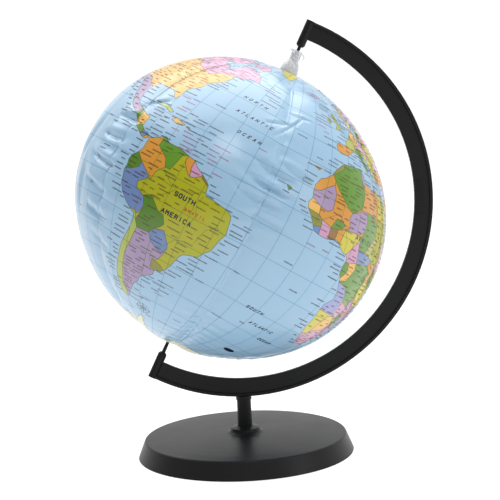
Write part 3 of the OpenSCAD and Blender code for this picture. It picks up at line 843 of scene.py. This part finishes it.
# A disc's own coordinates are degrees from the pole.
DISC_RIM = 7.05
DISC_NEAR = 14
DISC_RINGS = 7
DISC_TURN = 5
HOLE_REACH = 120  # millimetres from the ball's centre to the edge of a hole, about


def disc_piece(pole, hole, strips):
    """The disc over the panels' tips at a pole, with a hole of the given radius."""
    sign = 1 if pole == "north" else -1
    inner = math.degrees(hole / HOLE_REACH)
    rings = np.linspace(inner, DISC_RIM, DISC_RINGS)
    turns = np.radians(np.arange(0, 360, DISC_TURN))
    grid = [(r * math.cos(a), r * math.sin(a)) for r in rings[1:-1] for a in turns]
    boundary = [(DISC_RIM * math.cos(a), DISC_RIM * math.sin(a)) for a in turns]
    grid += [(inner * math.cos(a), inner * math.sin(a)) for a in turns]

    def to_patch(directions):
        away = np.degrees(np.arccos(np.clip(directions[:, 2] * sign, -1, 1)))
        way = unit(directions[:, :2])
        return way * away[:, None], away < DISC_NEAR

    def from_patch(flat):
        away = np.radians(np.linalg.norm(flat, axis=-1))
        way = unit(flat) * np.sin(away)[:, None]
        return np.concatenate([way, sign * np.cos(away)[:, None]], -1)

    def in_patch(middles):
        away = np.linalg.norm(middles, axis=-1)
        return (away > inner * 0.999) & (away < DISC_RIM)

    piece = printed_patch(f"{pole}_disc_film", grid, boundary, to_patch, from_patch, in_patch, strips)
    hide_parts(f"{pole}_disc")


# ---- printed words

PER_DEGREE = BALL_R * math.pi / 180  # millimetres

# Small names: pitch of the strokes, width of the pen and range of half heights in millimetres, and
# least distance between rows in degrees.
SMALL_PITCH = 0.6
SMALL_PEN = 0.37
SMALL_TALL = (0.26, 0.46)
ROW_GAP = 1.15
LETTERS = {"ocean": (8, 15), "busy": (10, 24), "coast": (7, 20), "inland": (7, 18)}

rng = random.Random(7)


def degrees_wide(millimetres, lat):
    return millimetres / (PER_DEGREE * max(0.2, math.cos(math.radians(lat))))


def small_word(strips, lon, lat, letters, ink="label"):
    """A small name that can't be read: a row of short upright strokes along a parallel."""
    for i in range(letters):
        x = lon + degrees_wide(i * SMALL_PITCH, lat)
        tall = rng.uniform(*SMALL_TALL) / PER_DEGREE
        start, end = print_direction([x, x], [lat - tall, lat + tall])
        strips.add([start], [end], SMALL_PEN, ink)


def fits(taken, lon, lat, wide):
    """Whether a word has room between the words already printed; if so its place is taken."""
    for other_lon, other_lat, other_wide in taken:
        if abs(other_lat - lat) < ROW_GAP and lon < other_lon + other_wide and other_lon < lon + wide:
            return False
    taken.append((lon, lat, wide))
    return True


# In degrees: how close the tries along the coasts are, how far out is looked at for sea, the latitude
# where the names stop, and how far they stand off. Three tries in five are used.
COAST_STEP = 0.9
COAST_LOOK = 1.5
COAST_TOP = 76
COAST_OFF = (0.3, 1.6)


def coast_labels(strips, taken):
    """Place names that stand out to sea from the coasts."""
    coasts = [spaced(points, COAST_STEP) for name, ink, points in LAND_OUTLINES if name != "antarctica"]
    points = np.concatenate(coasts)
    order = list(range(len(points)))
    rng.shuffle(order)
    sea_west = regions(points - [COAST_LOOK, 0])[0] == 0
    sea_east = regions(points + [COAST_LOOK, 0])[0] == 0
    for i in order[: len(order) * 3 // 5]:
        lon, lat = points[i]
        letters = rng.randint(*LETTERS["coast"])
        wide = degrees_wide(letters * SMALL_PITCH, lat)
        if abs(lat) < COAST_TOP and (sea_west[i] or sea_east[i]):
            off = rng.uniform(*COAST_OFF)
            start = lon - wide - off if sea_west[i] else lon + off
            if fits(taken, start, lat, wide):
                small_word(strips, start, lat, letters)


# In degrees: rows and columns of the places that are tried, how far a place strays from them, and the
# gap after a name.
INLAND_ROWS = np.arange(-54, 72, 1.2)
INLAND_COLUMNS = np.arange(-168, 180, 2.2)
STRAY_LON = 1
STRAY_LAT = 0.4
INLAND_GAP = 0.8


def inland_labels(strips, taken):
    """Place names inside the countries."""
    places, letters = [], []
    for lat in INLAND_ROWS:
        for lon in INLAND_COLUMNS:
            place = (lon + rng.uniform(-STRAY_LON, STRAY_LON), lat + rng.uniform(-STRAY_LAT, STRAY_LAT))
            places.append(place)
            letters.append(rng.randint(*LETTERS["inland"]))
    places = np.array(places)
    width = np.array([degrees_wide(n * SMALL_PITCH, lat) for n, lat in zip(letters, places[:, 1])])
    first = regions(places)[0]
    last = regions(places + np.stack([width, 0 * width], -1))[0]
    order = [i for i in range(len(places)) if first[i] and first[i] == last[i]]
    rng.shuffle(order)
    for i in order:
        lon, lat = places[i]
        if fits(taken, lon, lat, width[i] + INLAND_GAP):
            small_word(strips, lon, lat, letters[i], "inland")


def ocean_names(strips, taken):
    """Names of islands and currents out in the oceans."""
    for ink, places in read_lines(SEA_NAMES):
        for lon, lat in places:
            letters = rng.randint(*LETTERS["ocean"])
            if fits(taken, lon, lat, degrees_wide(letters * SMALL_PITCH, lat)):
                small_word(strips, lon, lat, letters, ink)


def busy_seas(strips, taken):
    """Seas crowded with names."""
    for west, east, south, north, tries, ink in BUSY_SEAS:
        for _ in range(tries):
            lon, lat = rng.uniform(west, east), rng.uniform(south, north)
            letters = rng.randint(*LETTERS["busy"])
            wide = degrees_wide(letters * SMALL_PITCH, lat)
            ends = regions(np.array([[lon, lat], [lon + wide, lat]]))[0]
            if not ends.any() and fits(taken, lon, lat, wide):
                small_word(strips, lon, lat, letters, ink)


# Names out in the oceans, by ink, as longitude,latitude in degrees.
SEA_NAMES = """
magenta: -55,13 -53,10 -50,7.5 -72,15.5 -19,47.5 -15,45.5 -10,1.5 -3,2
label: -64,32 -28,38 -17,32.5 -24,16 -26,14.2 -32,-4 -6,-16 -14,-8 -29,-20 -12,-37 -37,-54 -59,-51 -98,-1
 -99,-2.6 -108,10 -82,-33 -88,-27
magenta: -40,24 -52,-45
label: 3,-54 -38,-30 -24,-40 -74,-62 -46,-60 -56,-61 -155,20 -150,-17 -172,-14 178,-18 158,7 145,14 72,4
 56,-21 74,-49 105,-11 -130,-25 -109,-27 -140,10 165,-22
magenta: 88,12
"""

# Crowded seas: west, east, south, north, how many names are tried and their ink.
BUSY_SEAS = [
    (-67, -50, 9, 17, 70, "magenta"),
    (-80, -72, 23, 30, 20, "magenta"),
    (-22, -12, 45, 50, 24, "magenta"),
    (-86, -58, 11, 24, 110, "label"),
    (-52, -42, -30, -24, 14, "label"),
    (-60, -50, -44, -38, 14, "label"),
    (-36, -32, -10, -5, 6, "label"),
    (0, 24, 33, 44, 40, "label"),
    (-60, -46, 44, 58, 20, "label"),
    (-20, 0, 50, 62, 24, "label"),
    (-104, -92, 8, 18, 20, "label"),
    (110, 150, -8, 20, 60, "label"),
    (-180, -150, -24, 10, 30, "label"),
    (150, 178, -24, 10, 30, "label"),
]

# Capitals as strokes on a grid four wide and six high; a comma lifts the pen.
CAPITALS = {
    "A": "00 26 40,12 32",
    "B": "00 06 26 45 44 33 03,33 42 41 20 00",
    "C": "45 36 16 05 01 10 30 41",
    "D": "00 06 26 44 42 20 00",
    "E": "46 06 00 40,03 33",
    "F": "46 06 00,03 33",
    "H": "00 06,40 46,03 43",
    "I": "20 26",
    "L": "06 00 40",
    "M": "00 06 23 46 40",
    "N": "00 06 40 46",
    "O": "10 01 05 16 36 45 41 30 10",
    "P": "00 06 36 45 44 33 03",
    "R": "00 06 36 45 44 33 03,23 40",
    "S": "45 36 16 05 04 13 33 42 41 30 10 01",
    "T": "20 26,06 46",
    "U": "06 01 10 30 41 46",
    "Z": "06 46 00 40",
}

# Styles of the big words: height of the letters in millimetres, slant, width of the pen and ink.
WORD_STYLES = {
    "north sea": (2.5, 0.4, 0.55, "label"),
    "south sea": (2.3, 0.4, 0.65, "label"),
    "great land": (3.2, 0, 0.85, "label"),
    "country": (2.0, 0, 0.55, "red"),
    "land": (3.0, 0, 0.8, "label"),
    "far sea": (2.4, 0.4, 0.35, "label"),
}

# Oceans and continents: the middle's longitude and latitude, pitch in millimetres and style.
BIG_WORDS = [
    ("NORTH", -51, 41.5, 4.3, "north sea"),
    ("ATLANTIC", -47, 34, 4.0, "north sea"),
    ("OCEAN", -45, 26, 4.3, "north sea"),
    ("SOUTH", -11, -29.5, 3.2, "south sea"),
    ("ATLANTIC", -2, -35, 3.0, "south sea"),
    ("OCEAN", 7, -40, 3.0, "south sea"),
    ("SOUTH", -54, -5, 3.6, "great land"),
    ("BRAZIL", -48.5, -8.5, 3.0, "country"),
    ("AMERICA", -54, -12.5, 3.7, "great land"),
    ("NORTH", -103, 51, 4.4, "land"),
    ("AMERICA", -103, 43, 4.6, "land"),
    ("AFRICA", 16, 12, 4.4, "land"),
    ("EUROPE", 20, 52, 4.2, "land"),
    ("ASIA", 88, 45, 6.0, "land"),
    ("AUSTRALIA", 134, -26, 4.4, "land"),
    ("INDIAN", 80, -18, 4.6, "far sea"),
    ("OCEAN", 80, -26, 4.6, "far sea"),
    ("NORTH", -160, 34, 4.4, "far sea"),
    ("PACIFIC", -160, 27, 4.6, "far sea"),
    ("OCEAN", -160, 14, 4.6, "far sea"),
    ("SOUTH", -125, -28, 4.4, "far sea"),
    ("PACIFIC", -125, -35, 4.6, "far sea"),
    ("OCEAN", -125, -42, 4.6, "far sea"),
]


def big_word(strips, text, lon, lat, pitch, style):
    """A word in stroke capitals, centred on a place and running along its parallel."""
    height, slant, pen, ink = WORD_STYLES[style]
    cell = height / 6
    left = -pitch * (len(text) - 1) / 2 - 2 * cell
    for i, letter in enumerate(text):
        for stroke in CAPITALS[letter].split(","):
            marks = [(int(mark[0]), int(mark[1]) - 3) for mark in stroke.split()]
            across = [(x + slant * y) * cell + left + i * pitch for x, y in marks]
            lons = [lon + degrees_wide(x, lat) for x in across]
            track = print_direction(lons, [lat + y * cell / PER_DEGREE for x, y in marks])
            strips.add(track[:-1], track[1:], pen, ink)


# Pen widths, and sizes as shares of the rose's radius.
ROSE_RING = 0.45
ROSE_RING_PEN = 0.35
ROSE_LONG_POINT = (1.25, 0.5)
ROSE_SHORT_POINT = (0.85, 0.3)


def compass_rose(strips, lon, lat, radius):
    """A plain wind rose: two rings and eight points."""

    def place(r, turn):
        east = degrees_wide(r * math.sin(turn), lat)
        return print_direction(lon + east, lat + r * math.cos(turn) / PER_DEGREE)

    for ring in (radius, radius * ROSE_RING):
        turns = [math.radians(a) for a in range(0, 360, 15)]
        for a, b in zip(turns, turns[1:] + turns[:1]):
            strips.add([place(ring, a)], [place(ring, b)], ROSE_RING_PEN, "label")
    for i in range(8):
        reach, pen = ROSE_LONG_POINT if i % 2 == 0 else ROSE_SHORT_POINT
        track = place(np.linspace(0, radius * reach, 6), math.radians(45 * i))
        strips.add(track[:-1], track[1:], pen, "label")


def plain_mark(strips, lon, lat, wide, tall, bars=9, stretches=7):
    """A plain dark lens of level bars, low on the map."""
    for step in np.linspace(-0.9, 0.9, bars):
        half = degrees_wide(wide / 2 * math.sqrt(1 - step * step), lat)
        lons = np.linspace(lon - half, lon + half, stretches + 1)
        track = print_direction(lons, np.full(len(lons), lat + step * tall / 2 / PER_DEGREE))
        strips.add(track[:-1], track[1:], tall / (bars - 1), "label")


# ---- the whole object


# The dark edge's latitudes on the ball, and its width in millimetres.
JOIN_FROM = 18
JOIN_TO = 62
JOIN_STEP = 0.8
JOIN_WIDTH = 0.45


def dark_join(strips):
    """The print's dark edge that shows along one seam."""
    azimuth = math.radians(FIRST_SEAM - PANEL_ANGLE)
    lats = np.radians(np.arange(JOIN_FROM, JOIN_TO, JOIN_STEP))
    flat = np.cos(lats)
    track = np.stack([flat * math.cos(azimuth), flat * math.sin(azimuth), np.sin(lats)], -1)
    strips.add(track[:-1], track[1:], JOIN_WIDTH, "border")


BIG_WORD_ROWS = (-0.8, 0.8)  # degrees from a big word's middle to the two rows it takes up


def build_ball():
    lines = Strips()
    dark_join(lines)
    for number in range(1, PANELS + 1):
        panel_piece(number, lines)
    disc_piece("north", VALVE_HOLE_R, lines)
    disc_piece("south", SOCKET_HOLE_R, lines)
    labels = Strips()
    taken = []
    for text, lon, lat, pitch, style in BIG_WORDS:
        big_word(labels, text, lon, lat, pitch, style)
        wide = degrees_wide(len(text) * pitch, lat)
        taken += [(lon - wide / 2, lat + row, wide) for row in BIG_WORD_ROWS]
    ocean_names(labels, taken)
    busy_seas(labels, taken)
    coast_labels(labels, taken)
    inland_labels(labels, taken)
    compass_rose(labels, lon=-58, lat=-57.5, radius=5.5)
    plain_mark(labels, lon=4, lat=-54, wide=10, tall=5)
    for name, strips in (("printed_lines", lines), ("printed_labels", labels)):
        piece = strips.piece(name, LINE_LIFT)
        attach(piece, "ball")


def dress_stand():
    arm = black_plastic("arm_plastic", (24, 24, 25), 0.45)
    for node in ("meridian_arm", "support_post"):
        dress(node, arm)
    dress("base_dish", black_plastic("base_plastic", (31, 31, 32), 0.4))
    pin = black_plastic("pin_plastic", (22, 22, 24), 0.36)
    for node in ("north_pin", "south_pin"):
        dress(node, pin)
    zinc = steel("zinc_steel")
    for node in ("washer", "base_screw"):
        dress(node, zinc)


# The valve's stem and plug, and the strap that loops between them, in millimetres.
STEM_R = 3.9
STEM_TOP = POLE_Z + 15
HEAD_R = 4.1
STRAP_R = 2.3
STRAP_THICK = 0.9
STRAP_WIDE = 3.0
STRAP_OUT = 0.6  # from the stem to the loop's middle
STRAP_DOWN = 0.7  # from the stem's top to the loop's middle
STRAP_BITE = 0.1  # how far its ends go into the stem and the plug


def valve_point(x, y, z):
    """A point given along the ball's own axes, in millimetres, in the row frame."""
    return CENTRE + (np.array([x, y, z]) * MM) @ BALL_AXES


def strap_loop(material):
    """The soft band that ties the plug to the valve's stem."""
    middle_x, middle_z = STEM_R + STRAP_OUT, STEM_TOP - STRAP_DOWN
    route = [(STEM_R - STRAP_BITE, middle_z - STRAP_R, -90), (middle_x, middle_z - STRAP_R, -90)]
    for turn in range(-80, 90, 10):
        angle = math.radians(turn)
        route.append((middle_x + STRAP_R * math.cos(angle), middle_z + STRAP_R * math.sin(angle), turn))
    route += [(middle_x, middle_z + STRAP_R, 90), (HEAD_R - STRAP_BITE, middle_z + STRAP_R, 90)]
    corners = [math.radians(a) for a in range(0, 360, 18)]
    points = []
    for x, z, turn in route:
        for c in corners:  # round a rectangle with soft corners
            across = STRAP_WIDE / 2 * math.copysign(abs(math.cos(c)) ** 0.3, math.cos(c))
            out = STRAP_THICK / 2 * math.copysign(abs(math.sin(c)) ** 0.7, math.sin(c))
            away = math.radians(turn)
            points.append(valve_point(x + out * math.cos(away), across, z + out * math.sin(away)))
    count = len(corners)
    faces = []
    for r in range(len(route) - 1):
        for k in range(count):
            a, b = r * count + k, r * count + (k + 1) % count
            faces.append((a, b, b + count, a + count))
    faces.append(tuple(reversed(range(count))))
    faces.append(tuple(range(len(points) - count, len(points))))
    piece = new_piece("strap_loop", points, faces, [material], [0] * len(faces))
    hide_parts("valve_strap")
    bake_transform(piece)


def dress_valve():
    clear = clear_vinyl("clear_vinyl")
    for node in ("valve_body", "valve_flap", "valve_plug", "south_socket"):
        dress(node, clear)
    strap_loop(clear)


# ---- studio

CAMERA_PLACE = Vector((-0.1196, -1.3187, 0.3569))
CAMERA_AZIMUTH = math.radians(5.65)
CAMERA_ELEVATION = math.radians(8.31)
CAMERA_ROLL = math.radians(-2.81)
LENS = 121.8
SENSOR = 36


def add_camera():
    level_reach = math.cos(CAMERA_ELEVATION)
    east, north = math.sin(CAMERA_AZIMUTH) * level_reach, math.cos(CAMERA_AZIMUTH) * level_reach
    look = Vector((east, north, -math.sin(CAMERA_ELEVATION)))
    level = look.cross(Vector((0, 0, 1))).normalized()
    upward = level.cross(look)
    right = level * math.cos(CAMERA_ROLL) + upward * math.sin(CAMERA_ROLL)
    up = upward * math.cos(CAMERA_ROLL) - level * math.sin(CAMERA_ROLL)
    data = bpy.data.cameras.new("camera")
    data.sensor_width = SENSOR
    data.lens = LENS
    camera = bpy.data.objects.new("camera", data)
    rows = [(right[i], up[i], -look[i], CAMERA_PLACE[i]) for i in range(3)]
    camera.matrix_world = Matrix(rows + [(0, 0, 0, 1)])
    bpy.context.scene.collection.objects.link(camera)
    bpy.context.scene.camera = camera


def area_light(name, place, aim, size, power):
    data = bpy.data.lights.new(name, "AREA")
    data.shape = "RECTANGLE"
    data.size, data.size_y = size
    data.energy = power
    light = bpy.data.objects.new(name, data)
    light.location = place
    light.rotation_euler = (Vector(aim) - Vector(place)).to_track_quat("-Z", "Y").to_euler()
    bpy.context.scene.collection.objects.link(light)


def add_floor():
    """A wide white floor that glows a little, so that only a faint shadow shows under the base."""
    half = 60.0
    points = [(-half, -half, 0), (half, -half, 0), (half, half, 0), (-half, half, 0)]
    finish = {"rough": 0.7, "spread": 0.05, "grain": 5 * MM, "depth": 0.01 * MM}
    glow = {"Emission_Color": (1, 1, 1, 1), "Emission_Strength": 0.85}
    material = finish_material("floor", (0.3, 0.3, 0.3, 1), **finish, **glow)
    floor = new_piece("studio_floor", points, [(0, 1, 2, 3)], [material], [0])


BRIGHT_SIDE = (0.3, 0.95, 0)


def add_world():
    """A studio that is white behind the object and dimmer to the left and in front of it."""
    world = bpy.data.worlds.new("studio")
    world.use_nodes = True
    tree = world.node_tree
    back = tree.nodes["Background"]
    set_inputs(back, Color=(1, 1, 1, 1))
    place = tree.nodes.new("ShaderNodeTexCoord")
    towards = tree.nodes.new("ShaderNodeVectorMath")
    towards.operation = "DOT_PRODUCT"
    towards.inputs[1].default_value = BRIGHT_SIDE
    ramp = tree.nodes.new("ShaderNodeMapRange")
    ramp.interpolation_type = "SMOOTHSTEP"
    set_inputs(ramp, From_Min=-0.2, From_Max=0.9, To_Min=0.26, To_Max=1.05)
    tree.links.new(place.outputs["Generated"], towards.inputs[0])
    tree.links.new(towards.outputs["Value"], ramp.inputs["Value"])
    tree.links.new(ramp.outputs["Result"], back.inputs["Strength"])
    bpy.context.scene.world = world


# Each light's place and size in metres, and power in watts.
LIGHTS = {
    "key": ((0.1, -1.3, 2.0), (0.7, 0.7), 8.5),
    "top": ((0.0, 0.5, 1.8), (2.4, 2.0), 39),
    "fill": ((1.6, -1.1, 0.9), (0.8, 1.2), 6),
}
LIGHT_AIM = (0, 0, 0.2)


def add_lights():
    for name, (place, size, power) in LIGHTS.items():
        area_light(name, place, LIGHT_AIM, size, power)


bpy.context.scene.view_settings.view_transform = "Standard"
add_camera()
build_ball()
dress_stand()
dress_valve()
add_floor()
add_world()
add_lights()
